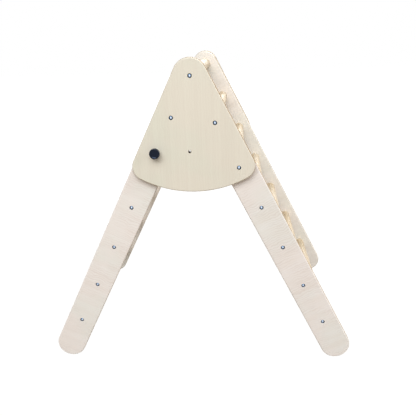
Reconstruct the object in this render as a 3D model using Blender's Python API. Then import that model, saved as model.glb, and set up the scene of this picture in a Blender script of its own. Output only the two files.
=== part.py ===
"""Folding climbing triangle: two plywood ladders with round rungs, joined by two side plates."""
import bpy
import bmesh
from math import cos, pi, radians, sin
from mathutils import Vector

# Start from an empty scene
for old in list(bpy.data.objects):
    bpy.data.objects.remove(old, do_unlink=True)

# Fits, in metres like every size below
CLEARANCE = 0.0003
OVERRUN = 0.002

# Both ladders
LEAN = radians(26.9)
LADDER_SPAN = 0.558
LEG_WIDTH = 0.076
LEG_THICKNESS = 0.018
BOARD_EDGE_ROUND = 0.0025
RUNG_PITCH = 0.120
RUNG_DIAMETER = 0.032
MAIN_RUNGS = 7
FOOT_REACH = 0.079

# Folding ladder
FOLDED_LEG_GAP = 0.0083
PIVOT_TO_RUNG = 0.1315
FOLDING_RUNGS = 5

# Side plates
PLATE_THICKNESS = 0.018
PLATE_PROUD = 0.002
PLATE_BELOW_BOLT = 0.032
PLATE_CORNER = 0.034
PLATE_BOLTS = 3

# Button head bolts with hexagon sockets
BOLT_DIAMETER = 0.006
BOLT_REACH = 0.022
BORE_END_ROOM = 0.002
HEAD_DIAMETER = 0.0105
HEAD_HEIGHT = 0.0033
HEAD_ROOM = 0.0004
SOCKET_WIDTH = 0.004
SOCKET_DEPTH = 0.002

# Lock knobs
PIVOT_TO_LOCK = 0.0897
LOCK_TRAVEL = 0.006
INSERT_WALL = 0.0018
INSERT_LENGTH = 0.012
WASHER_DIAMETER = 0.018
WASHER_THICKNESS = 0.0015
KNOB_DIAMETER = 0.025
KNOB_HEIGHT = 0.013
KNOB_EDGE_ROUND = 0.002
HUB_DIAMETER = 0.0145
HUB_HEIGHT = 0.0035
STUD_IN_KNOB = 0.0075
FACE_DISH_DIAMETER = 0.019
FACE_DISH_WALL = 0.0017
FACE_DISH_DEPTH = 0.0014

# Facets round the turned and rounded forms
BOLT_SIDES = 12
INSERT_SIDES = 8
RUNG_SIDES = 24
KNOB_SIDES = 24
WASHER_SIDES = 16
END_STEPS = 8
CORNER_STEPS = 5
ARC_STEPS = 14
EDGE_STEPS = 2

# Sizes that follow from the ones above
BOLT_RADIUS = BOLT_DIAMETER / 2
HEAD_RADIUS = HEAD_DIAMETER / 2
KNOB_RADIUS = KNOB_DIAMETER / 2
FOOT_DROP = (MAIN_RUNGS - 1) * RUNG_PITCH + FOOT_REACH
PIVOT_DROP = (LEG_WIDTH + FOLDED_LEG_GAP) / sin(2 * LEAN)
APEX_HEIGHT = FOOT_DROP * cos(LEAN) + LEG_WIDTH / 2
PLATE_RADIUS = (PLATE_BOLTS - 1) * RUNG_PITCH + PLATE_BELOW_BOLT
PLATE_SIDE = LEG_WIDTH / 2 + PLATE_PROUD
LEG_FACE = LADDER_SPAN / 2
PLATE_FACE = LEG_FACE + CLEARANCE + PLATE_THICKNESS
RUNG_HALF = LEG_FACE - LEG_THICKNESS - CLEARANCE
MAIN_DROPS = [i * RUNG_PITCH for i in range(MAIN_RUNGS)]
FOLDING_DROPS = [0] + [PIVOT_TO_RUNG + i * RUNG_PITCH for i in range(FOLDING_RUNGS)]
SIDES = {"near": -1, "far": 1}

# Directions down the two ladders, seen from the near side
DOWN_MAIN = Vector((sin(LEAN), 0, -cos(LEAN)))
DOWN_FOLDING = Vector((-sin(LEAN), 0, -cos(LEAN)))


def around(radius, sides):
    """Corner radius of a faceted hole that clears a round piece of this radius at any turn."""
    return (radius + CLEARANCE) / cos(pi / sides)


INSERT_BORE = around(BOLT_RADIUS, INSERT_SIDES)
INSERT_RADIUS = INSERT_BORE + INSERT_WALL
INSERT_HOLE = around(INSERT_RADIUS, INSERT_SIDES)
BOLT_HOLE = around(BOLT_RADIUS, BOLT_SIDES)
HEAD_HOLE = around(HEAD_RADIUS + HEAD_ROOM, BOLT_SIDES)
HEAD_TOP = CLEARANCE
HEAD_SEAT = HEAD_TOP + HEAD_HEIGHT + CLEARANCE


def material(name, colour, roughness, metallic=0.0):
    """A plain surface with one colour."""
    mat = bpy.data.materials.new(name)
    mat.use_nodes = True
    surface = mat.node_tree.nodes["Principled BSDF"]
    surface.inputs["Base Color"].default_value = (*colour, 1.0)
    surface.inputs["Roughness"].default_value = roughness
    surface.inputs["Metallic"].default_value = metallic
    mat.diffuse_color = (*colour, 1.0)
    return mat


def empty(name, location, turn=0.0, parent=None):
    """A frame that pieces hang on, turned about the depth axis."""
    frame = bpy.data.objects.new(name, None)
    frame.location = location
    frame.rotation_euler = (0, turn, 0)
    frame.parent = parent
    bpy.context.collection.objects.link(frame)
    return frame


def to_mesh(name, bm):
    """Close a bmesh's seams and turn it into a smoothly shaded mesh."""
    bmesh.ops.remove_doubles(bm, verts=bm.verts, dist=CLEARANCE / 100)
    bmesh.ops.recalc_face_normals(bm, faces=bm.faces)
    mesh = bpy.data.meshes.new(name)
    bm.to_mesh(mesh)
    bm.free()
    mesh.shade_smooth()
    mesh.set_sharp_from_angle(angle=radians(35))
    return mesh


def place(name, mesh, mat, parent, location=(0, 0, 0), turn=0.0):
    """Put a mesh in the scene as its own object, turned about the upright axis."""
    piece = bpy.data.objects.new(name, mesh)
    piece.parent = parent
    piece.location = location
    piece.rotation_euler = (0, 0, turn)
    if mat and not mesh.materials:
        mesh.materials.append(mat)
    bpy.context.collection.objects.link(piece)
    return piece


def arc(centre, radius, start, end, steps):
    """Points of an arc in the side view, angles counted from straight down towards +X."""
    turns = [start + (end - start) * i / steps for i in range(steps + 1)]
    return [(centre[0] + radius * sin(t), centre[1] - radius * cos(t)) for t in turns]


def board(outline, thickness, side):
    """A flat board with rounded edges, its outer face at y = 0 and its body towards the middle."""
    bm = bmesh.new()
    face = bm.faces.new([bm.verts.new((x, 0, z)) for x, z in outline])
    grown = bmesh.ops.extrude_face_region(bm, geom=[face])["geom"]
    inner = [v for v in grown if isinstance(v, bmesh.types.BMVert)]
    bmesh.ops.translate(bm, verts=inner, vec=(0, -side * thickness, 0))
    rims = [e for e in bm.edges if abs(e.verts[0].co.y - e.verts[1].co.y) < thickness / 2]
    bmesh.ops.bevel(bm, geom=rims, offset=BOARD_EDGE_ROUND, offset_type="OFFSET", affect="EDGES",
                    segments=EDGE_STEPS, profile=0.5, material=-1)
    return bm


def spin_profile(bm, profile, sides, side=-1, ring=False):
    """Spin (radius, depth) points about the depth axis, depth counted from the outer face inwards."""
    points = [bm.verts.new((r, -side * d, 0)) for r, d in profile]
    pairs = list(zip(points, points[1:])) + ([(points[-1], points[0])] if ring else [])
    edges = [bm.edges.new(pair) for pair in pairs]
    bmesh.ops.spin(bm, geom=points + edges, cent=(0, 0, 0), axis=(0, 1, 0), angle=2 * pi,
                   steps=sides, use_merge=True)


def close_ends(bm, sides):
    """Fill the round openings that a spun profile leaves."""
    bmesh.ops.holes_fill(bm, edges=[e for e in bm.edges if e.is_boundary], sides=sides)


def turned_mesh(name, profile, sides, ring=False):
    """A turned piece, its depth running from the near side towards the middle."""
    bm = bmesh.new()
    spin_profile(bm, profile, sides, ring=ring)
    if not ring:
        close_ends(bm, sides)
    return to_mesh(name, bm)


def drill(piece, side, holes):
    """Cut turned holes into a board with one tool, each hole given as (profile, sides, (x, z))."""
    bm = bmesh.new()
    for profile, sides, (x, z) in holes:
        before = set(bm.verts)
        spin_profile(bm, profile, sides, side)
        bmesh.ops.translate(bm, verts=[v for v in bm.verts if v not in before], vec=(x, 0, z))
    close_ends(bm, max(sides for _, sides, _ in holes))
    name = f"{piece.name}_holes"
    tool = place(name, to_mesh(name, bm), None, piece.parent, piece.location)
    tool.hide_render = True
    tool.display_type = "WIRE"
    cut = piece.modifiers.new(name, "BOOLEAN")
    cut.operation = "DIFFERENCE"
    cut.solver = "EXACT"
    cut.object = tool


def head_hole(thickness, at):
    """A through hole with a counterbore that takes a bolt head below the face."""
    return ([(HEAD_HOLE, -OVERRUN), (HEAD_HOLE, HEAD_SEAT), (BOLT_HOLE, HEAD_SEAT),
             (BOLT_HOLE, thickness + OVERRUN)], BOLT_SIDES, at)


def plain_hole(thickness, at):
    """A through hole for a bolt shank or a lock stud."""
    return [(BOLT_HOLE, -OVERRUN), (BOLT_HOLE, thickness + OVERRUN)], BOLT_SIDES, at


def insert_hole(at):
    """A blind hole for the lock's threaded insert."""
    return [(INSERT_HOLE, -OVERRUN), (INSERT_HOLE, INSERT_LENGTH + CLEARANCE)], INSERT_SIDES, at


def bolt_mesh(name, tip):
    """Bolt with a domed head sunk in a face, its tip this deep under that face."""
    under = HEAD_TOP + HEAD_HEIGHT
    crown = HEAD_RADIUS * 0.52
    bm = bmesh.new()
    spin_profile(bm, [(crown, HEAD_TOP), (HEAD_RADIUS * 0.86, HEAD_TOP + HEAD_HEIGHT * 0.3),
                      (HEAD_RADIUS, HEAD_TOP + HEAD_HEIGHT * 0.75), (HEAD_RADIUS, under),
                      (BOLT_RADIUS, under), (BOLT_RADIUS, tip)], BOLT_SIDES)
    rim = [e for e in bm.edges if e.is_boundary and e.verts[0].co.y < under]
    end = [e for e in bm.edges if e.is_boundary and e.verts[0].co.y > under]
    bmesh.ops.holes_fill(bm, edges=end, sides=BOLT_SIDES)
    sink(bm, rim, SOCKET_WIDTH / 2 / cos(pi / 6), 6, HEAD_TOP, SOCKET_DEPTH)
    return to_mesh(name, bm)


def sink(bm, rim, radius, sides, y, depth):
    """Close a round end with a flat ring round a blind hole, straight or with few sides."""
    turns = [2 * pi * i / sides for i in range(sides)]
    loop = [bm.verts.new((radius * cos(t), y, radius * sin(t))) for t in turns]
    mouth = [bm.edges.new((loop[i - 1], loop[i])) for i in range(sides)]
    bmesh.ops.triangle_fill(bm, edges=rim + mouth, use_beauty=True)
    grown = bmesh.ops.extrude_edge_only(bm, edges=mouth)["geom"]
    ends = [v for v in grown if isinstance(v, bmesh.types.BMVert)]
    bmesh.ops.translate(bm, verts=ends, vec=(0, depth, 0))
    bottom = [e for e in bm.edges if e.is_boundary and e.verts[0] in ends]
    bmesh.ops.holes_fill(bm, edges=bottom, sides=sides)


# Surfaces of the real pieces
birch = material("birch_plywood", (0.78, 0.69, 0.58), 0.55)
pale_birch = material("birch_plywood_legs", (0.80, 0.72, 0.66), 0.55)
beech = material("beech_dowel", (0.82, 0.66, 0.42), 0.5)
zinc = material("zinc_plated_steel", (0.52, 0.57, 0.64), 0.3, 1.0)
brass = material("brass_insert", (0.72, 0.55, 0.26), 0.35, 1.0)
black = material("black_plastic", (0.012, 0.016, 0.028), 0.45)

# Frames: the apex rung, the main ladder, the folding ladder on its pivot, and the locks
apex = empty("apex_frame", (0, 0, APEX_HEIGHT))
main_ladder = empty("main_ladder_frame", (0, 0, 0), -LEAN, apex)
folding_ladder = empty("folding_ladder_frame", DOWN_FOLDING * PIVOT_DROP, LEAN, apex)
lock_place = DOWN_FOLDING * (PIVOT_DROP + PIVOT_TO_LOCK)
parked_place = DOWN_FOLDING * PIVOT_DROP + DOWN_MAIN * PIVOT_TO_LOCK


def leg_outline(foot_drop, lean):
    """A strip with two round ends, the foot's arc drawn from the point that meets the floor."""
    half = LEG_WIDTH / 2
    foot = (0, -foot_drop)
    lower = arc(foot, half, -pi / 2, lean, END_STEPS) + arc(foot, half, lean, pi / 2, END_STEPS)[1:]
    upper = arc((0, 0), half, pi / 2, 3 * pi / 2, 2 * END_STEPS)
    return lower + upper


def plate_outline():
    """A sector about the apex rung with rounded corners and a round apex over the legs' ends."""
    reach = PLATE_RADIUS - PLATE_CORNER
    inset = PLATE_SIDE - PLATE_CORNER
    along = (reach ** 2 - inset ** 2) ** 0.5
    corner_turn = LEAN + atan_share(inset, along)
    right = corner_place(along, inset, 1)
    left = corner_place(along, inset, -1)
    bottom = arc((0, 0), PLATE_RADIUS, -corner_turn, corner_turn, ARC_STEPS)
    lower_right = arc(right, PLATE_CORNER, corner_turn, pi / 2 + LEAN, CORNER_STEPS)[1:]
    top = arc((0, 0), PLATE_SIDE, pi / 2 + LEAN, 3 * pi / 2 - LEAN, ARC_STEPS)
    lower_left = arc(left, PLATE_CORNER, -pi / 2 - LEAN, -corner_turn, CORNER_STEPS)[:-1]
    return bottom + lower_right + top + lower_left


def corner_place(along, inset, sign):
    """Centre of a lower corner's rounding, this far down the leg's axis and outside it."""
    return (sign * (along * sin(LEAN) + inset * cos(LEAN)), -along * cos(LEAN) + inset * sin(LEAN))


def atan_share(rise, run):
    """Turn of a point off the leg's axis, seen from the apex."""
    return Vector((run, rise)).angle_signed(Vector((1, 0)))


def make_leg(name, side, foot_drop, lean, frame):
    """One leg board hanging from its frame."""
    outline = leg_outline(foot_drop, lean)
    return place(name, to_mesh(name, board(outline, LEG_THICKNESS, side)), pale_birch, frame,
                 (0, side * LEG_FACE, 0))


def rung_mesh():
    """A dowel with a blind hole in each end for a bolt."""
    bm = bmesh.new()
    spin_profile(bm, [(RUNG_DIAMETER / 2, -RUNG_HALF), (RUNG_DIAMETER / 2, RUNG_HALF)], RUNG_SIDES)
    for y, inwards in ((-RUNG_HALF, 1), (RUNG_HALF, -1)):
        rim = [e for e in bm.edges if e.is_boundary and e.verts[0].co.y * inwards < 0]
        sink(bm, rim, BOLT_HOLE, BOLT_SIDES, y, inwards * (BOLT_REACH + BORE_END_ROOM))
    return to_mesh("rung", bm)


# Rungs, all from one mesh
dowel = rung_mesh()
for i, drop in enumerate(MAIN_DROPS):
    place(f"main_rung_{i + 1}", dowel, beech, main_ladder, (0, 0, -drop))
for i, drop in enumerate(FOLDING_DROPS):
    place(f"folding_rung_{i + 1}", dowel, beech, folding_ladder, (0, 0, -drop))

# Bolts of two lengths: through a leg, and through a side plate and a leg
LEG_TIP = LEG_THICKNESS + CLEARANCE + BOLT_REACH
PLATE_TIP = PLATE_THICKNESS + CLEARANCE + LEG_TIP
leg_bolt = bolt_mesh("leg_bolt", LEG_TIP)
plate_bolt = bolt_mesh("plate_bolt", PLATE_TIP)

# Legs, side plates and bolts of each side
for word, side in SIDES.items():
    turn = 0 if side < 0 else pi
    upper, lower = MAIN_DROPS[:PLATE_BOLTS], MAIN_DROPS[PLATE_BOLTS:]
    leg = make_leg(f"{word}_main_leg", side, FOOT_DROP, -LEAN, main_ladder)
    drill(leg, side, [plain_hole(LEG_THICKNESS, (0, -d)) for d in upper]
          + [head_hole(LEG_THICKNESS, (0, -d)) for d in lower])
    for i, drop in enumerate(upper):
        place(f"{word}_plate_bolt_{i + 1}", plate_bolt, zinc, main_ladder,
              (0, side * PLATE_FACE, -drop), turn)
    for i, drop in enumerate(lower):
        place(f"{word}_main_leg_bolt_{i + PLATE_BOLTS + 1}", leg_bolt, zinc, main_ladder,
              (0, side * LEG_FACE, -drop), turn)

    leg = make_leg(f"{word}_folding_leg", side, FOOT_DROP - PIVOT_DROP, LEAN, folding_ladder)
    drill(leg, side, [plain_hole(LEG_THICKNESS, (0, 0)), insert_hole((0, -PIVOT_TO_LOCK))]
          + [head_hole(LEG_THICKNESS, (0, -d)) for d in FOLDING_DROPS[1:]])
    place(f"{word}_pivot_bolt", plate_bolt, zinc, folding_ladder, (0, side * PLATE_FACE, 0), turn)
    for i, drop in enumerate(FOLDING_DROPS[1:]):
        place(f"{word}_folding_leg_bolt_{i + 2}", leg_bolt, zinc, folding_ladder,
              (0, side * LEG_FACE, -drop), turn)

    mesh = to_mesh(f"{word}_side_plate", board(plate_outline(), PLATE_THICKNESS, side))
    plate = place(f"{word}_side_plate", mesh, birch, apex, (0, side * PLATE_FACE, 0))
    bolts = [DOWN_MAIN * d for d in upper] + [DOWN_FOLDING * PIVOT_DROP]
    drill(plate, side, [head_hole(PLATE_THICKNESS, (p.x, p.z)) for p in bolts]
          + [plain_hole(PLATE_THICKNESS, (p.x, p.z)) for p in (lock_place, parked_place)])


def knob(base):
    """Round knob with a hub, rounded rims and a shallow dish in its face, open for its stud."""
    height = base + KNOB_HEIGHT
    rim = KNOB_RADIUS - KNOB_EDGE_ROUND
    dish = FACE_DISH_DIAMETER / 2
    round_share = 1 - cos(pi / 4)
    cut = KNOB_EDGE_ROUND * round_share
    flange = base + HUB_HEIGHT
    bore = around(BOLT_RADIUS, KNOB_SIDES)
    heights = [(bore, base + STUD_IN_KNOB + CLEARANCE), (bore, base), (HUB_DIAMETER / 2, base),
               (HUB_DIAMETER / 2, flange), (rim, flange), (KNOB_RADIUS - cut, flange + cut),
               (KNOB_RADIUS, flange + KNOB_EDGE_ROUND), (KNOB_RADIUS, height - KNOB_EDGE_ROUND),
               (KNOB_RADIUS - cut, height - cut), (rim, height), (dish, height),
               (dish - FACE_DISH_WALL, height - FACE_DISH_DEPTH)]
    return [(r, -h) for r, h in heights]


def ring(inner, outer, start, end):
    """Closed profile of a flat ring or a sleeve."""
    return [(inner, start), (outer, start), (outer, end), (inner, end)]


# Locks: a washer that slides, with a knob and its stud that turn on it
lift = CLEARANCE + LOCK_TRAVEL
knob_base = lift + WASHER_THICKNESS + CLEARANCE
washer = turned_mesh("lock_washer", ring(around(BOLT_RADIUS, WASHER_SIDES), WASHER_DIAMETER / 2,
                                         -lift - WASHER_THICKNESS, -lift), WASHER_SIDES, ring=True)
stud = turned_mesh("lock_stud", [(BOLT_RADIUS, -knob_base - STUD_IN_KNOB),
                                 (BOLT_RADIUS, PLATE_THICKNESS)], BOLT_SIDES)
handle = turned_mesh("lock_knob", knob(knob_base), KNOB_SIDES)
sleeve = turned_mesh("lock_insert", ring(INSERT_BORE, INSERT_RADIUS, 0, INSERT_LENGTH),
                     INSERT_SIDES, ring=True)
for word, side in SIDES.items():
    turn = 0 if side < 0 else pi
    lock = empty(f"{word}_lock_frame", lock_place + Vector((0, side * PLATE_FACE, 0)), 0, apex)
    place(f"{word}_lock_washer", washer, zinc, lock, turn=turn)
    place(f"{word}_lock_stud", stud, zinc, lock, turn=turn)
    place(f"{word}_lock_knob", handle, black, lock, turn=turn)
    place(f"{word}_lock_insert", sleeve, brass, folding_ladder,
          (0, side * LEG_FACE, -PIVOT_TO_LOCK), turn)
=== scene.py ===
"""Folding climbing triangle in lacquered birch plywood with beech rungs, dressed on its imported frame."""

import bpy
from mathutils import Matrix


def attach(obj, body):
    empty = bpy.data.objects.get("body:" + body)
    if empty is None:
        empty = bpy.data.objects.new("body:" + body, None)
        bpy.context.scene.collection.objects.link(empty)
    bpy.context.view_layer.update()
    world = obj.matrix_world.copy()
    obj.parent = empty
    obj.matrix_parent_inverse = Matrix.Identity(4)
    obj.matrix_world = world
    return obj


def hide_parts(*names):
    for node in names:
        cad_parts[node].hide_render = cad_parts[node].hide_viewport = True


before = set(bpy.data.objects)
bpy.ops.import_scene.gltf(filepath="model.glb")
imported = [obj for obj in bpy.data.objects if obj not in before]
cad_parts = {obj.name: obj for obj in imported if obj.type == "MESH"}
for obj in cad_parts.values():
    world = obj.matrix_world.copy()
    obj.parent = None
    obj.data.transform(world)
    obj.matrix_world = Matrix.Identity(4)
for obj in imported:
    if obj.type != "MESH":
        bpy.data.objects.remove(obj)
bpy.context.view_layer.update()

from math import atan2, cos, pi, radians, sin

import bmesh
import bpy
from mathutils import Matrix, Vector

# The photograph's view.
# The camera stands 1.4 m in front of the near side and a little to the right, just above the apex rung,
# looks 19 degrees down and is held not quite level.
eye = Vector((0.1083, -1.4370, 0.8268))
camera = bpy.data.objects.new("camera", bpy.data.cameras.new("camera"))
camera.data.sensor_width = 36
camera.data.lens = 42.82
camera.data.clip_start = 0.05
bpy.context.scene.collection.objects.link(camera)
camera.matrix_world = (Matrix.Translation(eye) @ Matrix.Rotation(radians(3.831), 4, "Z")
                       @ Matrix.Rotation(radians(71.156), 4, "X") @ Matrix.Rotation(radians(-1.859), 4, "Z"))
bpy.context.scene.camera = camera

# Legs of the main ladder.
# Two boards of 18 mm birch plywood, sawn with round ends, their edges rounded over with a router, drilled
# for the bolts and lacquered matt. The face veneer's grain runs across the leg, so fine lines cross it.
LEAN = radians(26.9)
LEG_WIDTH = 0.076
BOARD = 0.018
EDGE_ROUND = 0.0032
LEG_FACE = 0.279
PITCH = 0.120
FOOT_DROP = 0.799
APEX = Vector((0, 0, FOOT_DROP * cos(LEAN) + LEG_WIDTH / 2))
# bores as (radius, depth) from the outer face, cut from 2 mm outside both faces, mouths broken at 45 degrees
SHANK_HOLE = 0.0034
HEAD_HOLE, HEAD_SEAT = 0.0052, 0.0039
BEFORE, BEYOND = -0.002, BOARD + 0.002
STRAIGHT_BORE = [(SHANK_HOLE, BEFORE), (SHANK_HOLE, BEYOND)]
BOLT_BORE = [(0.0072, -0.0018), (HEAD_HOLE, 0.0002), (HEAD_HOLE, HEAD_SEAT), (SHANK_HOLE, HEAD_SEAT),
             (SHANK_HOLE, BEYOND)]


def sweep(bm, point, centre, angle, steps):
    """Sweep a point round a centre, counterclockwise seen from the near side, and return the last point."""
    swept = bmesh.ops.spin(bm, geom=[point], cent=(centre[0], 0, centre[1]), axis=(0, 1, 0), angle=-angle,
                           steps=steps)["geom_last"]
    return next(v for v in swept if isinstance(v, bmesh.types.BMVert))


def straight(bm, point, end):
    """Draw a straight side to an end point and return that."""
    last = bm.verts.new((end[0], 0, end[1]))
    bm.edges.new((point, last))
    return last


def spin_round(bm, profile, sides, side=-1, closed=False):
    """Turn (radius, depth) points about the depth axis, depth counted inwards from the outer face."""
    points = [bm.verts.new((r, -side * d, 0)) for r, d in profile]
    pairs = list(zip(points, points[1:])) + ([(points[-1], points[0])] if closed else [])
    edges = [bm.edges.new(pair) for pair in pairs]
    bmesh.ops.spin(bm, geom=points + edges, cent=(0, 0, 0), axis=(0, 1, 0), angle=2 * pi,
                   steps=sides, use_merge=True)
    if not closed:
        bmesh.ops.holes_fill(bm, edges=[e for e in bm.edges if e.is_boundary], sides=sides)


def as_object(name, bm, place, smooth=30):
    """Merge doubles, turn the faces outwards, move the mesh to its place, give it an object at the origin."""
    bmesh.ops.remove_doubles(bm, verts=bm.verts, dist=1e-6)
    bmesh.ops.recalc_face_normals(bm, faces=bm.faces)
    bmesh.ops.transform(bm, matrix=place, verts=bm.verts)
    mesh = bpy.data.meshes.new(name)
    bm.to_mesh(mesh)
    bm.free()
    mesh.shade_smooth()
    mesh.set_sharp_from_angle(angle=radians(smooth))
    piece = bpy.data.objects.new(name, mesh)
    bpy.context.scene.collection.objects.link(piece)
    return piece


def sawn_board(name, ply, draw, holes, side, place):
    """A board cut to a drawn outline, edges rounded over, with bores given as (profile, (x, z)). The sunk
    bolt bores keep the clean wood, the others are painted a dark brown for the shade inside them."""
    bm = bmesh.new()
    draw(bm)
    bmesh.ops.remove_doubles(bm, verts=bm.verts, dist=1e-6)
    face = bmesh.ops.contextual_create(bm, geom=bm.edges[:])["faces"][0]
    grown = bmesh.ops.extrude_face_region(bm, geom=[face])["geom"]
    bmesh.ops.translate(bm, verts=[v for v in grown if isinstance(v, bmesh.types.BMVert)],
                        vec=(0, -side * BOARD, 0))
    rims = [e for e in bm.edges if abs(e.verts[0].co.y - e.verts[1].co.y) < BOARD / 2]
    bmesh.ops.bevel(bm, geom=rims, offset=EDGE_ROUND, offset_type="OFFSET", affect="EDGES",
                    segments=4, profile=0.5, material=-1)
    board = as_object(name, bm, place)

    bm = bmesh.new()
    for profile, (x, z) in holes:
        before, walls = set(bm.verts), set(bm.faces)
        spin_round(bm, profile, 32, side)
        bmesh.ops.translate(bm, verts=[v for v in bm.verts if v not in before], vec=(x, 0, z))
        for face in set(bm.faces) - walls:
            # every bore but the sunk bolt bores takes the second material, the painted shade
            face.material_index = int(profile is not BOLT_BORE)
    drill = as_object(name + "_drill", bm, place)
    for mesh in (board.data, drill.data):
        mesh.materials.append(ply)
        mesh.materials.append(bore_shade)
    cut = board.modifiers.new("holes", "BOOLEAN")
    cut.operation, cut.solver, cut.object = "DIFFERENCE", "EXACT", drill
    even = board.modifiers.new("even_shading", "WEIGHTED_NORMAL")
    even.keep_sharp = True
    bpy.context.view_layer.update()
    done = bpy.data.meshes.new_from_object(board.evaluated_get(bpy.context.evaluated_depsgraph_get()))
    board.modifiers.clear()
    board.data = done
    bpy.data.objects.remove(drill)
    return board


def srgb(text):
    """Linear colour of an sRGB hex value."""
    parts = [int(text[i:i + 2], 16) / 255 for i in (0, 2, 4)]
    return [p / 12.92 if p <= 0.04045 else ((p + 0.055) / 1.055) ** 2.4 for p in parts] + [1.0]


def node(tree, kind, settings=(), **links):
    """Add a node: settings go on the node, where stops are a ramp's (position, hex) pairs, and links go on
    its inputs as values or as other nodes' outputs. A link named i0 goes on the first input."""
    made = tree.nodes.new("ShaderNode" + kind)
    for key, value in dict(settings).items():
        if key == "stops":
            marks = made.color_ramp.elements
            while len(marks) < len(value):
                marks.new(0.5)
            for mark, (position, text) in zip(marks, value):
                mark.position, mark.color = position, srgb(text)
        else:
            setattr(made, key, value)
    for key, value in links.items():
        socket = made.inputs[int(key[1:])] if key[0] == "i" and key[1:].isdigit() else made.inputs[key]
        if isinstance(value, bpy.types.NodeSocket):
            tree.links.new(value, socket)
        else:
            socket.default_value = value
    return made


def new_finish(name):
    """Start a material: the material, its node tree and its surface shader."""
    material = bpy.data.materials.new(name)
    material.use_nodes = True
    return material, material.node_tree, material.node_tree.nodes["Principled BSDF"]


PLY = 0.0014


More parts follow.
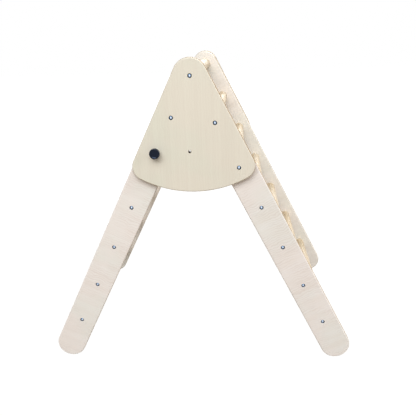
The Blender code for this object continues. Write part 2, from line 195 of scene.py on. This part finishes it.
def birch_plywood(name, turn, outer_face, skin, core_shade, stripe, line, lines, outer, inner):
    """Lacquered birch plywood, matt: soft stripes and fine lines along the face grain, plies on the edges.
    Skin is how deep the pale face veneer shows on the rounded edge, and core_shade how dark the plies behind
    it get. Stripe and line are lengths and widths in millimetres, and lines is how strongly the lines show.
    Outer and inner are the tones of the two veneers."""
    material, tree, surface = new_finish(name)
    place = node(tree, "TexCoord").outputs["Object"]
    grain = node(tree, "Mapping", Vector=place, Rotation=(0, turn, 0)).outputs["Vector"]

    def streaks(size, depth, detail, waver):
        """Noise drawn out along the grain to a length and a width."""
        long = node(tree, "Mapping", Vector=grain, Scale=(1000 / size[0], depth, 1000 / size[1]))
        return node(tree, "TexNoise", Vector=long.outputs["Vector"], Scale=1.0, Detail=detail,
                    Distortion=waver).outputs["Fac"]

    stripes = streaks(stripe, 9.0, 1.0, 0.2)
    fibres = streaks(line, 40.0, 1.0, 0.8)
    # the lines come in groups, where the knife met the grain at an angle
    groups = node(tree, "TexNoise", Vector=grain, Scale=20.0, Detail=1.0).outputs["Fac"]
    thin = node(tree, "MapRange", Value=fibres, **{"From Min": 0.56, "From Max": 0.66,
                                                   "To Max": 0.7}).outputs[0]
    where = node(tree, "MapRange", Value=groups, **{"From Min": 0.42, "From Max": 0.60, "To Min": 0.08,
                                                   "To Max": lines}).outputs[0]
    # ripples of the veneer lathe's knife, 6 mm apart and wavy
    ripples = node(tree, "TexWave", dict(bands_direction="Z"), Vector=grain, Scale=50.0, Distortion=9.0,
                   Detail=3.0, **{"Detail Scale": 0.9}).outputs["Fac"]
    ripples = node(tree, "MapRange", Value=ripples, **{"From Min": 0.60, "From Max": 1.0,
                                                       "To Max": 0.8}).outputs[0]
    thin = node(tree, "Math", dict(operation="MAXIMUM"), i0=thin, i1=ripples).outputs[0]
    thin = node(tree, "Math", dict(operation="MULTIPLY"), i0=thin, i1=where).outputs[0]
    spread = node(tree, "MapRange", Value=stripes, **{"From Min": 0.30, "From Max": 0.70}).outputs[0]
    outside, inside = [node(tree, "ValToRGB", dict(stops=[(0.0, pale), (1.0, paler)]),
                            Fac=spread).outputs["Color"] for pale, paler in (outer, inner)]
    # distance from the outer face, in metres
    across = node(tree, "SeparateXYZ", Vector=place).outputs["Y"]
    depth = node(tree, "Math", dict(operation="ABSOLUTE"), i0=across).outputs[0]
    depth = node(tree, "Math", dict(operation="SUBTRACT"), i0=outer_face, i1=depth).outputs[0]
    back = node(tree, "Math", dict(operation="GREATER_THAN"), i0=depth, i1=BOARD / 2).outputs[0]
    face = node(tree, "MixRGB", Fac=back, Color1=outside, Color2=inside).outputs["Color"]
    # clouds of sapwood 80 mm across, from a rosy to a greenish white
    clouds = node(tree, "TexNoise", Vector=grain, Scale=9.0, Detail=2.0).outputs["Fac"]
    clouds = node(tree, "ValToRGB", dict(stops=[(0.36, "FFFCFA"), (0.50, "FEFCFA"), (0.64, "FBFCF9")]),
                  Fac=clouds).outputs["Color"]
    face = node(tree, "MixRGB", dict(blend_type="MULTIPLY"), Fac=1.0, Color1=face,
                Color2=clouds).outputs["Color"]
    plain = node(tree, "MapRange", Value=back, **{"To Min": 1.0, "To Max": 0.4}).outputs[0]
    thin = node(tree, "Math", dict(operation="MULTIPLY"), i0=thin, i1=plain).outputs[0]
    face = node(tree, "MixRGB", dict(blend_type="MULTIPLY"), Fac=thin, Color1=face,
                Color2=srgb("E0D6CF")).outputs["Color"]
    # pin knots 2 to 3 mm wide, a few on a board
    knots = node(tree, "TexVoronoi", Vector=grain, Scale=16.0).outputs["Distance"]
    knots = node(tree, "MapRange", Value=knots, **{"From Min": 0.010, "From Max": 0.030, "To Min": 0.55,
                                                  "To Max": 0.0}).outputs[0]
    face = node(tree, "MixRGB", Fac=knots, Color1=face, Color2=srgb("8C6B50")).outputs["Color"]
    # plies by turns with and across the cut, a dark glue line between them
    plies = node(tree, "Math", dict(operation="MULTIPLY"), i0=depth, i1=1 / PLY).outputs[0]
    turns = node(tree, "Math", dict(operation="PINGPONG"), i0=plies, i1=1.0).outputs[0]
    edge = node(tree, "ValToRGB", dict(stops=[(0.0, "7E6142"), (0.14, "B59870"), (0.45, "C2A57C"),
                                              (0.55, "DCC69F"), (0.90, "E4D1AE"), (1.0, "7E6142")]),
                Fac=turns).outputs["Color"]
    # fibres and end grain of the plies, 2 mm wide
    ends = node(tree, "TexNoise", Vector=place, Scale=450.0, Detail=3.0).outputs["Fac"]
    edge = node(tree, "MixRGB", dict(blend_type="MULTIPLY"), Fac=ends, Color1=edge,
                Color2=srgb(core_shade)).outputs["Color"]
    middle = node(tree, "Math", dict(operation="SUBTRACT"), i0=depth, i1=BOARD / 2).outputs[0]
    middle = node(tree, "Math", dict(operation="ABSOLUTE"), i0=middle).outputs[0]
    core = node(tree, "Math", dict(operation="LESS_THAN"), i0=middle, i1=BOARD / 2 - skin).outputs[0]
    colour = node(tree, "MixRGB", Fac=core, Color1=face, Color2=edge).outputs["Color"]
    tree.links.new(colour, surface.inputs["Base Color"])
    rough = node(tree, "MapRange", Value=fibres, **{"To Min": 0.44, "To Max": 0.60}).outputs[0]
    tree.links.new(rough, surface.inputs["Roughness"])
    surface.inputs["IOR"].default_value = 1.5
    grooves = node(tree, "Bump", Height=fibres, Strength=0.1, Distance=0.0003).outputs["Normal"]
    tree.links.new(grooves, surface.inputs["Normal"])
    return material


def painted_bore_shade(name):
    """Painted shade for the inside of a bore: dull dark brown, so a bore reads as a dark spot."""
    material, tree, surface = new_finish(name)
    place = node(tree, "TexCoord").outputs["Object"]
    # the painted shade in specks of about 1 mm
    shade_specks = node(tree, "TexNoise", Vector=place, Scale=800.0, Detail=2.0).outputs["Fac"]
    brown = node(tree, "ValToRGB", dict(stops=[(0.3, "4A3D33"), (0.7, "66574A")]), Fac=shade_specks).outputs["Color"]
    tree.links.new(brown, surface.inputs["Base Color"])
    surface.inputs["Roughness"].default_value = 0.8
    return material


def seat(piece, material, body, slot, *nodes):
    """Give a piece its finish if it has none yet, fix it to its body and let it stand for its solids."""
    if not piece.data.materials:
        piece.data.materials.append(material)
    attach(piece, body)
    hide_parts(*nodes)


def strip(foot_drop):
    """Outline of a leg: two half turns joined by straight sides."""
    half = LEG_WIDTH / 2

    def draw(bm):
        foot = sweep(bm, bm.verts.new((-half, 0, -foot_drop)), (0, -foot_drop), pi, 48)
        top = sweep(bm, straight(bm, foot, (half, 0)), (0, 0), pi, 48)
        straight(bm, top, (-half, -foot_drop))

    return draw


LEG_SKIN, LEG_CORE = 0.0022, "D8C8B4"
LEG_STRIPE, LEG_LINE, LEG_LINES = (120, 16), (110, 2.0), 0.4
# the legs' inner veneer is painted paler than the outer one, to make up for the shade between the two sides
# of the ladder and under the rungs
LEG_INNER_PAINTED_PALER = ("EEEAE4", "F4F1EC")
MAIN = "main_ladder_and_plates"
SIDES = {"near": -1, "far": 1}
main_place = Matrix.Translation(APEX) @ Matrix.Rotation(-LEAN, 4, "Y")
main_leg_ply = birch_plywood("birch_plywood_lacquered_main_legs", LEAN, LEG_FACE, LEG_SKIN, LEG_CORE,
                             LEG_STRIPE, LEG_LINE, LEG_LINES, ("EDE8E4", "F0EDEB"), LEG_INNER_PAINTED_PALER)
# dark brown painted shade for the walls of the bores
bore_shade = painted_bore_shade("plywood_with_painted_shade_in_the_bores")
for word, side in SIDES.items():
    holes = [(BOLT_BORE if i > 2 else STRAIGHT_BORE, (0, -i * PITCH)) for i in range(7)]
    place = Matrix.Translation((0, side * LEG_FACE, 0)) @ main_place
    leg = sawn_board(f"{word}_main_leg_board", main_leg_ply, strip(FOOT_DROP), holes, side, place)
    seat(leg, main_leg_ply, MAIN, "leg_plywood", f"{word}_main_leg")

# Rungs of the main ladder.
# Seven 32 mm beech dowels, turned, sanded and lacquered. Their ends butt against the legs' inner faces,
# and a blind hole in each end takes its bolt.
RUNG_RADIUS = 0.016
# boards, rungs and the parts screwed to them stand 0.3 mm apart
GAP = 0.0003
RUNG_HALF = LEG_FACE - BOARD - GAP
RUNG_SOFTENING = 0.0010
BOLT_REACH = 0.022
BOLT_HOLE_DEPTH = BOLT_REACH + 0.002


def beech_dowel(name):
    """Lacquered beech: warm pale wood, grain along the dowel with short darker flecks 2 to 4 mm long."""
    material, tree, surface = new_finish(name)
    place = node(tree, "TexCoord").outputs["Object"]
    streaks = node(tree, "Mapping", Vector=place, Scale=(180, 7, 180)).outputs["Vector"]
    streaks = node(tree, "TexNoise", Vector=streaks, Scale=1.0, Detail=4.0, Distortion=0.4).outputs["Fac"]
    flecks = node(tree, "Mapping", Vector=place, Scale=(900, 260, 900)).outputs["Vector"]
    flecks = node(tree, "TexNoise", Vector=flecks, Scale=1.0, Detail=2.0).outputs["Fac"]
    flecks = node(tree, "MapRange", Value=flecks, **{"From Min": 0.60, "From Max": 0.72,
                                                    "To Max": 0.35}).outputs[0]
    wood = node(tree, "ValToRGB", dict(stops=[(0.30, "D0B992"), (0.52, "DAC7A7"), (0.72, "E2D4BC")]),
                Fac=streaks).outputs["Color"]
    wood = node(tree, "MixRGB", Fac=flecks, Color1=wood, Color2=srgb("D0A876")).outputs["Color"]
    tree.links.new(wood, surface.inputs["Base Color"])
    surface.inputs["Roughness"].default_value = 0.42
    surface.inputs["IOR"].default_value = 1.5
    grooves = node(tree, "Bump", Height=streaks, Strength=0.1, Distance=0.0003).outputs["Normal"]
    tree.links.new(grooves, surface.inputs["Normal"])
    return material


def dowel(name, place):
    """A dowel across the ladder with softened ends and a hole for a bolt in each."""
    bm = bmesh.new()
    end = [(SHANK_HOLE, 0.0), (RUNG_RADIUS - RUNG_SOFTENING, 0.0), (RUNG_RADIUS - 0.0003, 0.0003),
           (RUNG_RADIUS, RUNG_SOFTENING)]
    near = [(r, d - RUNG_HALF) for r, d in end]
    far = [(r, RUNG_HALF - d) for r, d in reversed(end)]
    spin_round(bm, [(SHANK_HOLE, BOLT_HOLE_DEPTH - RUNG_HALF)] + near + far
               + [(SHANK_HOLE, RUNG_HALF - BOLT_HOLE_DEPTH)], 64)
    return as_object(name, bm, place, smooth=40)


beech = beech_dowel("beech_dowel_lacquered")
for i in range(7):
    rung = dowel(f"main_rung_{i + 1}_dowel", main_place @ Matrix.Translation((0, 0, -i * PITCH)))
    seat(rung, beech, MAIN, "beech_rung", f"main_rung_{i + 1}")

# Side plates.
# Two sectors of the same plywood outside the legs, with a round apex and round lower corners. Their
# grain stands upright. Three bolts hold each to the main ladder; the folding ladder turns on a fourth.
PLATE_FACE = LEG_FACE + GAP + BOARD
PLATE_SIDE = 0.040
PLATE_RADIUS = 0.272
PLATE_CORNER = 0.034
FOLDED_GAP = 0.0083
PIVOT_DROP = (LEG_WIDTH + FOLDED_GAP) / sin(2 * LEAN)
PIVOT_TO_LOCK = 0.0897
down_main = Vector((sin(LEAN), 0, -cos(LEAN)))
down_folding = Vector((-sin(LEAN), 0, -cos(LEAN)))
pivot = down_folding * PIVOT_DROP
lock_spot = down_folding * (PIVOT_DROP + PIVOT_TO_LOCK)
parked_spot = pivot + down_main * PIVOT_TO_LOCK


def sector(bm):
    """Draw the outline of a side plate about the apex rung."""
    inset = PLATE_SIDE - PLATE_CORNER
    along = ((PLATE_RADIUS - PLATE_CORNER) ** 2 - inset ** 2) ** 0.5
    swing = LEAN + atan2(inset, along)
    right, left = [(sign * (along * sin(LEAN) + inset * cos(LEAN)), inset * sin(LEAN) - along * cos(LEAN))
                   for sign in (1, -1)]
    shoulder = (PLATE_SIDE * cos(LEAN), PLATE_SIDE * sin(LEAN))
    hip = (left[0] - PLATE_CORNER * cos(LEAN), left[1] + PLATE_CORNER * sin(LEAN))
    start = bm.verts.new((-PLATE_RADIUS * sin(swing), 0, -PLATE_RADIUS * cos(swing)))
    pen = sweep(bm, start, (0, 0), 2 * swing, 64)
    pen = sweep(bm, pen, right, pi / 2 + LEAN - swing, 20)
    pen = sweep(bm, straight(bm, pen, shoulder), (0, 0), pi - 2 * LEAN, 48)
    sweep(bm, straight(bm, pen, hip), left, pi / 2 + LEAN - swing, 20)


# the plates' plies show nearer the face and darker: partly their own brown, partly painted shade that deepens
# the dark line under each plate's lower edge
PLATE_SKIN, PLATE_CORE_WITH_PAINTED_SHADE = 0.0012, "A08058"
PLATE_STRIPE, PLATE_LINE, PLATE_LINES = (900, 12), (160, 4.0), 0.12
plate_ply = birch_plywood("birch_plywood_lacquered_side_plates", pi / 2, PLATE_FACE, PLATE_SKIN, PLATE_CORE_WITH_PAINTED_SHADE,
                          PLATE_STRIPE, PLATE_LINE, PLATE_LINES, ("E2DED1", "E5E2D5"), ("E3DBCC", "EAE4D6"))
STUD_HOLE = 0.0032
STUD_BORE = [(0.0058, BEFORE), (STUD_HOLE, 0.0006), (STUD_HOLE, BEYOND)]
plate_holes = ([(BOLT_BORE, (p.x, p.z)) for p in [down_main * PITCH * i for i in range(3)] + [pivot]]
               + [(STUD_BORE, (p.x, p.z)) for p in (lock_spot, parked_spot)])
for word, side in SIDES.items():
    place = Matrix.Translation(APEX + Vector((0, side * PLATE_FACE, 0)))
    plate = sawn_board(f"{word}_side_plate_board", plate_ply, sector, plate_holes, side, place)
    seat(plate, plate_ply, MAIN, "plate_plywood", f"{word}_side_plate")

# Bolts.
# M6 button head bolts, cold headed steel with a blue passivated zinc plating and a 4 mm hexagon socket
# whose floor is given a near-white zinc as a painted highlight. Each is sunk just below the wood and runs
# into the end of a rung.
HEAD_RADIUS = 0.0050
HEAD_HEIGHT = 0.0033
HEAD_SKIRT = 0.0005
SUNK = 0.0003
SOCKET_CORNER, SOCKET_DEPTH = 0.0023, 0.0009
BOLT_RADIUS = 0.003
TIP_CHAMFER = 0.0006


def plated_steel(name, text, roughness):
    """Zinc plated steel, a little cloudy, so its reflections break up softly."""
    material, tree, surface = new_finish(name)
    surface.inputs["Metallic"].default_value = 1.0
    place = node(tree, "TexCoord").outputs["Object"]
    clouds = node(tree, "TexNoise", Vector=place, Scale=900.0, Detail=3.0).outputs["Fac"]
    rough = node(tree, "MapRange", Value=clouds, **{"To Min": roughness - 0.06,
                                                   "To Max": roughness + 0.08}).outputs[0]
    tree.links.new(rough, surface.inputs["Roughness"])
    tint = node(tree, "MixRGB", Fac=clouds, Color1=srgb(text[0]), Color2=srgb(text[1])).outputs["Color"]
    tree.links.new(tint, surface.inputs["Base Color"])
    return material


def hexagon_bolt(name, tip, side, place):
    """Button head bolt: domed head with a hexagon socket, shank and chamfered tip."""
    under = SUNK + HEAD_HEIGHT
    bm = bmesh.new()
    dome = [(HEAD_RADIUS * sin(t), under - HEAD_SKIRT - (HEAD_HEIGHT - HEAD_SKIRT) * cos(t) ** 1.4)
            for t in [radians(24 + 66 * i / 8) for i in range(9)]]
    crown = dome[0][1]
    points = [bm.verts.new((r, d, 0)) for r, d in dome + [(HEAD_RADIUS, under), (BOLT_RADIUS, under),
              (BOLT_RADIUS, tip - TIP_CHAMFER), (BOLT_RADIUS - TIP_CHAMFER, tip)]]
    edges = [bm.edges.new(pair) for pair in zip(points, points[1:])]
    bmesh.ops.spin(bm, geom=points + edges, cent=(0, 0, 0), axis=(0, 1, 0), angle=2 * pi, steps=36,
                   use_merge=True)
    rim = [e for e in bm.edges if e.is_boundary and e.verts[0].co.y < under]
    bmesh.ops.holes_fill(bm, edges=[e for e in bm.edges if e.is_boundary and e not in rim], sides=36)
    corners = [bm.verts.new((SOCKET_CORNER * cos(pi / 3 * i), crown, SOCKET_CORNER * sin(pi / 3 * i)))
               for i in range(6)]
    mouth = [bm.edges.new((corners[i - 1], corners[i])) for i in range(6)]
    bmesh.ops.triangle_fill(bm, edges=rim + mouth, use_beauty=True)
    grown = bmesh.ops.extrude_edge_only(bm, edges=mouth)["geom"]
    floor = [v for v in grown if isinstance(v, bmesh.types.BMVert)]
    bmesh.ops.translate(bm, verts=floor, vec=(0, SOCKET_DEPTH, 0))
    bmesh.ops.scale(bm, verts=floor, vec=(0.8, 1, 0.8))
    before = set(bm.faces)
    bmesh.ops.holes_fill(bm, edges=[e for e in bm.edges if e.is_boundary], sides=6)
    # the socket floor takes the second material, a near-white zinc painted as the head's highlight
    for face in bm.faces:
        face.material_index = 0 if face in before else 1
    if side > 0:
        bmesh.ops.rotate(bm, verts=bm.verts, cent=(0, 0, 0), matrix=Matrix.Rotation(pi, 3, "Z"))
    return as_object(name, bm, place)


zinc = plated_steel("blue_zinc_plated_steel", ("566B86", "7489A5"), 0.30)
# a lighter copy of the zinc on the socket floor: painted highlight for the bright centre of each head
socket_painted_highlight = plated_steel("zinc_with_painted_highlight_in_the_socket", ("E6F2FC", "F6FBFF"), 0.3)
LEG_TIP = BOARD + GAP + BOLT_REACH
PLATE_TIP = BOARD + GAP + LEG_TIP


def fix_bolt(node_name, tip, face, side, frame_place, drop, body):
    """One bolt in its ladder's frame, so far down the leg, its head under the face at that distance."""
    place = Matrix.Translation((0, side * face, 0)) @ frame_place @ Matrix.Translation((0, 0, -drop))
    bolt = hexagon_bolt(f"{node_name}_steel", tip, side, place)
    seat(bolt, zinc, body, "zinc_steel", node_name)
    bolt.data.materials.append(socket_painted_highlight)


for word, side in SIDES.items():
    for i in range(3):
        fix_bolt(f"{word}_plate_bolt_{i + 1}", PLATE_TIP, PLATE_FACE, side, main_place, i * PITCH, MAIN)
    for i in range(3, 7):
        fix_bolt(f"{word}_main_leg_bolt_{i + 1}", LEG_TIP, LEG_FACE, side, main_place, i * PITCH, MAIN)

# Folding ladder.
# Two more legs of the same plywood, six dowels and their bolts. It hangs on the pivot bolts between the
# side plates, and swings in beside the main ladder when the lock studs are out of its brass inserts.
FOLDING = "folding_ladder"
folding_place = Matrix.Translation(APEX + pivot) @ Matrix.Rotation(LEAN, 4, "Y")
FIRST_DROP = 0.1315
FOLDING_DROPS = [0.0] + [FIRST_DROP + i * PITCH for i in range(5)]
INSERT_RADIUS, INSERT_HOLE = 0.0050, 0.0051
INSERT_LENGTH, INSERT_HOLE_DEPTH = 0.012, 0.0125
INSERT_THREAD = 0.0031
INSERT_BORE = [(INSERT_HOLE, BEFORE), (INSERT_HOLE, INSERT_HOLE_DEPTH)]
folding_leg_ply = birch_plywood("birch_plywood_lacquered_folding_legs", -LEAN, LEG_FACE, LEG_SKIN, LEG_CORE,
                                LEG_STRIPE, LEG_LINE, LEG_LINES, ("F0EBE7", "F3F0ED"), LEG_INNER_PAINTED_PALER)


def turned_brass(name):
    """Turned brass, fine tool rings round the sleeve."""
    material, tree, surface = new_finish(name)
    surface.inputs["Metallic"].default_value = 1.0
    surface.inputs["Roughness"].default_value = 0.3
    place = node(tree, "TexCoord").outputs["Object"]
    rings = node(tree, "TexWave", dict(bands_direction="Y"), Vector=place, Scale=400.0).outputs["Fac"]
    tint = node(tree, "ValToRGB", dict(stops=[(0.0, "B8924A"), (1.0, "CFAB62")]), Fac=rings).outputs["Color"]
    tree.links.new(tint, surface.inputs["Base Color"])
    return material


brass = turned_brass("turned_brass")
for word, side in SIDES.items():
    holes = ([(STRAIGHT_BORE, (0, 0)), (INSERT_BORE, (0, -PIVOT_TO_LOCK))]
             + [(BOLT_BORE, (0, -d)) for d in FOLDING_DROPS[1:]])
    place = Matrix.Translation((0, side * LEG_FACE, 0)) @ folding_place
    leg = sawn_board(f"{word}_folding_leg_board", folding_leg_ply, strip(FOOT_DROP - PIVOT_DROP), holes,
                     side, place)
    seat(leg, folding_leg_ply, FOLDING, "leg_plywood", f"{word}_folding_leg")
    fix_bolt(f"{word}_pivot_bolt", PLATE_TIP, PLATE_FACE, side, folding_place, 0.0, FOLDING)
    for i, drop in enumerate(FOLDING_DROPS[1:]):
        fix_bolt(f"{word}_folding_leg_bolt_{i + 2}", LEG_TIP, LEG_FACE, side, folding_place, drop, FOLDING)
    bm = bmesh.new()
    spin_round(bm, [(INSERT_THREAD, 0.0004), (INSERT_THREAD + 0.0004, 0), (INSERT_RADIUS - 0.0002, 0),
                    (INSERT_RADIUS, 0.0003), (INSERT_RADIUS, INSERT_LENGTH - 0.0003),
                    (INSERT_RADIUS - 0.0003, INSERT_LENGTH), (INSERT_THREAD, INSERT_LENGTH)],
               40, side, closed=True)
    insert = as_object(f"{word}_lock_insert_brass", bm, place @ Matrix.Translation((0, 0, -PIVOT_TO_LOCK)))
    seat(insert, brass, FOLDING, "brass_insert", f"{word}_lock_insert")
for i, drop in enumerate(FOLDING_DROPS):
    rung = dowel(f"folding_rung_{i + 1}_dowel", folding_place @ Matrix.Translation((0, 0, -drop)))
    seat(rung, beech, FOLDING, "beech_rung", f"folding_rung_{i + 1}")

# Locks.
# A black nylon knob moulded round an M6 stud, on a plain steel washer, on each side plate. The stud goes
# through the plate into the folding leg. The knob's face is dished inside a rim.
KNOB_RADIUS = 0.0125
KNOB_HEIGHT = 0.013
KNOB_ROUND = 0.002
COLLAR_RADIUS, COLLAR_HEIGHT = 0.00725, 0.0035
KNOB_BORE, KNOB_BORE_DEPTH = 0.0033, 0.0078
# the knob stands backed off, its washer so far from the plate
LIFT = 0.0063
WASHER_RADIUS, WASHER_HOLE, WASHER = 0.009, 0.0034, 0.0015
KNOB_BASE = LIFT + WASHER + GAP
STUD_IN_KNOB, STUD_END = 0.0075, 0.018
THREAD_DEPTH = THREAD_STEP = 0.0005


def moulded_nylon(name):
    """Black glass filled nylon from a spark eroded mould: satin, with a fine even grain."""
    material, tree, surface = new_finish(name)
    surface.inputs["IOR"].default_value = 1.53
    surface.inputs["Specular IOR Level"].default_value = 0.36
    surface.inputs["Specular Tint"].default_value = srgb("A9C0EA")
    place = node(tree, "TexCoord").outputs["Object"]
    # grit of 0.3 mm, coarser than the real 0.1 mm so that it shows
    grit = node(tree, "TexNoise", Vector=place, Scale=3300.0, Detail=2.0).outputs["Fac"]
    rough = node(tree, "MapRange", Value=grit, **{"To Min": 0.18, "To Max": 0.28}).outputs[0]
    tree.links.new(rough, surface.inputs["Roughness"])
    tint = node(tree, "MixRGB", Fac=grit, Color1=srgb("05060B"), Color2=srgb("090B14")).outputs["Color"]
    tree.links.new(tint, surface.inputs["Base Color"])
    grain = node(tree, "Bump", Height=grit, Strength=0.15, Distance=0.0001).outputs["Normal"]
    tree.links.new(grain, surface.inputs["Normal"])
    return material


nylon = moulded_nylon("black_nylon_moulded")
for word, side in SIDES.items():
    place = Matrix.Translation(APEX + lock_spot + Vector((0, side * PLATE_FACE, 0)))
    height, rim, flange = KNOB_BASE + KNOB_HEIGHT, KNOB_RADIUS - KNOB_ROUND, KNOB_BASE + COLLAR_HEIGHT
    quarter = [radians(90 * i / 5) for i in range(6)]
    low = [(rim + KNOB_ROUND * sin(t), flange + KNOB_ROUND - KNOB_ROUND * cos(t)) for t in quarter]
    high = [(rim + KNOB_ROUND * cos(t), height - KNOB_ROUND + KNOB_ROUND * sin(t)) for t in quarter]
    dish = [(0.0099, height), (0.0096, height - 0.0001), (0.0076, height - 0.0013),
            (0.0072, height - 0.0014), (0.0, height - 0.0011)]
    profile = [(KNOB_BORE, KNOB_BASE + KNOB_BORE_DEPTH), (KNOB_BORE, KNOB_BASE), (COLLAR_RADIUS, KNOB_BASE),
               (COLLAR_RADIUS, flange)] + low + high + dish
    bm = bmesh.new()
    spin_round(bm, [(r, -h) for r, h in profile], 64, side)
    knob = as_object(f"{word}_lock_knob_nylon", bm, place)
    seat(knob, nylon, f"{word}_lock_handle", "black_plastic", f"{word}_lock_knob")

    # the stud's thread, drawn as rings 1 mm apart
    bm = bmesh.new()
    thread = [(BOLT_RADIUS - THREAD_DEPTH * (i % 2), THREAD_STEP * (i + 1) - KNOB_BASE)
              for i in range(int((STUD_END - 0.001 + KNOB_BASE) / THREAD_STEP))]
    spin_round(bm, [(BOLT_RADIUS, -KNOB_BASE - STUD_IN_KNOB)] + thread
               + [(BOLT_RADIUS - TIP_CHAMFER, STUD_END)], 32, side)
    stud = as_object(f"{word}_lock_stud_steel", bm, place)
    seat(stud, zinc, f"{word}_lock_handle", "zinc_steel", f"{word}_lock_stud")

    bm = bmesh.new()
    low, high = -LIFT, -LIFT - WASHER
    spin_round(bm, [(WASHER_HOLE, low), (WASHER_RADIUS - 0.0002, low), (WASHER_RADIUS, low - 0.0002),
                    (WASHER_RADIUS, high + 0.0002), (WASHER_RADIUS - 0.0002, high), (WASHER_HOLE, high)],
               48, side, closed=True)
    washer = as_object(f"{word}_lock_washer_steel", bm, place)
    seat(washer, zinc, f"{word}_lock_carrier", "zinc_steel", f"{word}_lock_washer")

# Studio.
# A plain paper floor that keeps the object's soft shadow, a white surround, a large softbox above and in
# front, fills from the right and from behind and a lamp overhead, so that a colour renders as written.
bm = bmesh.new()
bmesh.ops.create_grid(bm, x_segments=1, y_segments=1, size=12)
floor = as_object("floor", bm, Matrix.Translation((0, 0, -0.0002)))
paper, tree, surface = new_finish("white_paper_floor")
# a warm mid-tone to the object, so that undersides stay shaded as in a room
surface.inputs["Base Color"].default_value = srgb("908270")
surface.inputs["Roughness"].default_value = 0.9
surface.inputs["Specular IOR Level"].default_value = 0.0


def seen_white(tree):
    """1 for camera, glossy and transmission rays, 0 for those that light the object."""
    paths = node(tree, "LightPath").outputs
    shown = paths["Is Camera Ray"]
    for ray in ("Is Glossy Ray", "Is Transmission Ray"):
        shown = node(tree, "Math", dict(operation="MAXIMUM"), i0=shown, i1=paths[ray]).outputs[0]
    return shown


# to the eye the paper glows white, a little less near the feet, where a faint shadow is left
place = node(tree, "TexCoord").outputs["Object"]
from_middle = node(tree, "VectorMath", dict(operation="LENGTH"), i0=place)
share = node(tree, "MapRange", Value=from_middle.outputs["Value"],
             **{"From Min": 0.7, "From Max": 2.2, "To Min": 0.85, "To Max": 1.0}).outputs[0]
share = node(tree, "Math", dict(operation="MULTIPLY"), i0=seen_white(tree), i1=share).outputs[0]
glow = node(tree, "Emission", Color=srgb("FFFFFF"), Strength=1.18).outputs[0]
blend = node(tree, "MixShader", i0=share, i1=surface.outputs[0], i2=glow)
tree.links.new(blend.outputs[0], tree.nodes["Material Output"].inputs["Surface"])
floor.data.materials.append(paper)

world = bpy.data.worlds.new("white_surround")
world.use_nodes = True
tree = world.node_tree
plain = tree.nodes["Background"]
plain.inputs["Color"].default_value = srgb("FFFFFF")
plain.inputs["Strength"].default_value = 0.34
white = node(tree, "Background", Color=srgb("FFFFFF"), Strength=1.0).outputs[0]
surround = node(tree, "MixShader", i0=seen_white(tree), i1=plain.outputs[0], i2=white)
tree.links.new(surround.outputs[0], tree.nodes["World Output"].inputs["Surface"])
bpy.context.scene.world = world


def soft_lamp(name, where, aim, width, height, watts):
    """A large rectangular soft lamp."""
    lamp = bpy.data.objects.new(name, bpy.data.lights.new(name, "AREA"))
    lamp.data.shape = "RECTANGLE"
    lamp.data.size, lamp.data.size_y = width, height
    lamp.data.energy = watts
    lamp.location = where
    lamp.rotation_euler = (Vector(aim) - Vector(where)).to_track_quat("-Z", "Y").to_euler()
    bpy.context.scene.collection.objects.link(lamp)


soft_lamp("softbox", (-0.4, -4.6, 4.0), (0, 0, 0.45), 4.6, 3.0, 258)
soft_lamp("fill_from_the_right", (3.2, -0.9, 1.8), (0, 0, 0.45), 1.8, 1.8, 38)
soft_lamp("light_overhead", (1.6, 0.2, 6.0), (0.1, 0, 0.45), 3.0, 3.0, 58)
soft_lamp("fill_from_behind", (0.8, 4.6, 3.2), (0, 0, 0.45), 3.0, 2.4, 130)

bpy.context.scene.view_settings.view_transform = "Standard"
